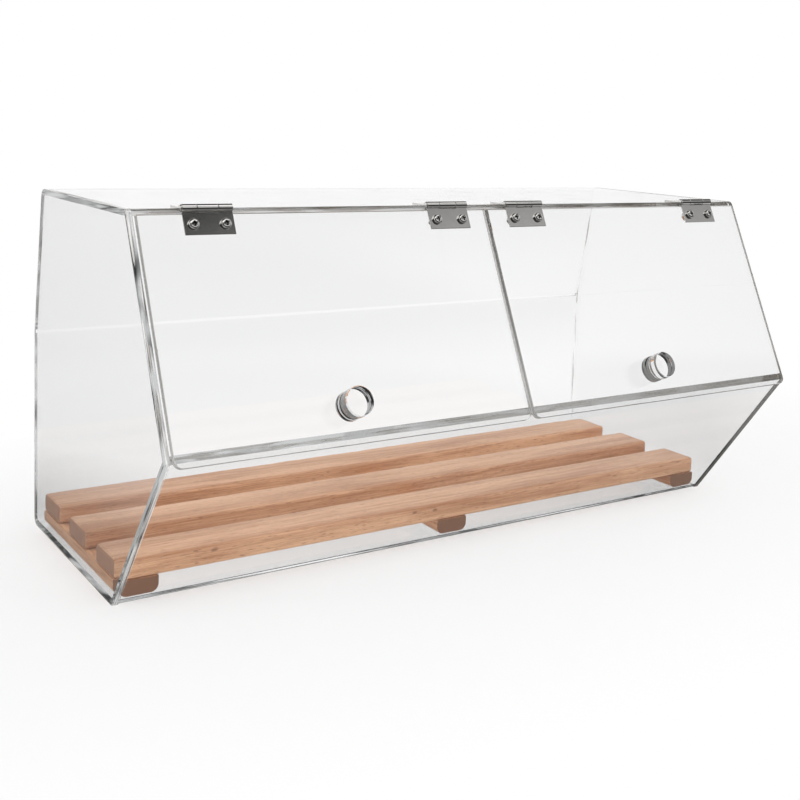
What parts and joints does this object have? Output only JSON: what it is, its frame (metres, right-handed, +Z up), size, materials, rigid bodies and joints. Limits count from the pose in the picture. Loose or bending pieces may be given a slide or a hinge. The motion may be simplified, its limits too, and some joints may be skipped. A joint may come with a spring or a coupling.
{
  "type": "countertop bread display bin",
  "caption": "Clear acrylic countertop bread bin with a sloping front, hinged lift-up lids, round pull knobs and a lift-out slatted beech rack.",
  "frame": {"origin": "centre of the flat base, on the surface the bin stands on", "axes": "+X to the right seen from the front, front faces -Y, +Z up"},
  "size_m": [0.6, 0.3101, 0.2926],
  "materials": {
    "clear_acrylic": "clear cast acrylic sheet and rod, flame or diamond polished edges",
    "hinge_metal": "nickel plated, polished, with darker reflections",
    "screw_metal": "nickel plated machine screws and nuts",
    "zinc_screw": "zinc plated wood screws",
    "beech": "planed steamed beech, light oil, rounded edges"
  },
  "bodies": {
    "case": {"side_panel_left": "clear_acrylic", "side_panel_right": "clear_acrylic", "bent_shell": "clear_acrylic", "top_leaf_screws": "screw_metal", "left_outer_hinge_top_leaf": "hinge_metal", "left_outer_hinge_pin": "hinge_metal", "left_inner_hinge_top_leaf": "hinge_metal", "left_inner_hinge_pin": "hinge_metal", "right_inner_hinge_top_leaf": "hinge_metal", "right_inner_hinge_pin": "hinge_metal", "right_outer_hinge_top_leaf": "hinge_metal", "right_outer_hinge_pin": "hinge_metal"},
    "left_lid": {"lid_left": "clear_acrylic", "knob_left": "clear_acrylic", "lid_screws_left": "screw_metal", "lid_nuts_left": "screw_metal", "left_outer_hinge_lid_leaf": "hinge_metal", "left_inner_hinge_lid_leaf": "hinge_metal"},
    "right_lid": {"lid_right": "clear_acrylic", "knob_right": "clear_acrylic", "lid_screws_right": "screw_metal", "lid_nuts_right": "screw_metal", "right_inner_hinge_lid_leaf": "hinge_metal", "right_outer_hinge_lid_leaf": "hinge_metal"},
    "rack": {"slat_front": "beech", "slat_middle": "beech", "slat_back": "beech", "cross_bar_left": "beech", "cross_bar_middle": "beech", "cross_bar_right": "beech", "rack_screws": "zinc_screw"}
  },
  "joints": [
    {"name": "left_lid_hinge", "type": "hinge", "parent": "case", "child": "left_lid", "pos_m": [-0.14775, -0.12526, 0.2896], "axis": [-1, 0, 0], "range_deg": [0, 215]},
    {"name": "right_lid_hinge", "type": "hinge", "parent": "case", "child": "right_lid", "pos_m": [0.14775, -0.12526, 0.2896], "axis": [-1, 0, 0], "range_deg": [0, 215]},
    {"name": "rack_lift", "type": "slide", "parent": "case", "child": "rack", "axis": [0, 0, 1], "range_m": [0, 0.06]}
  ]
}
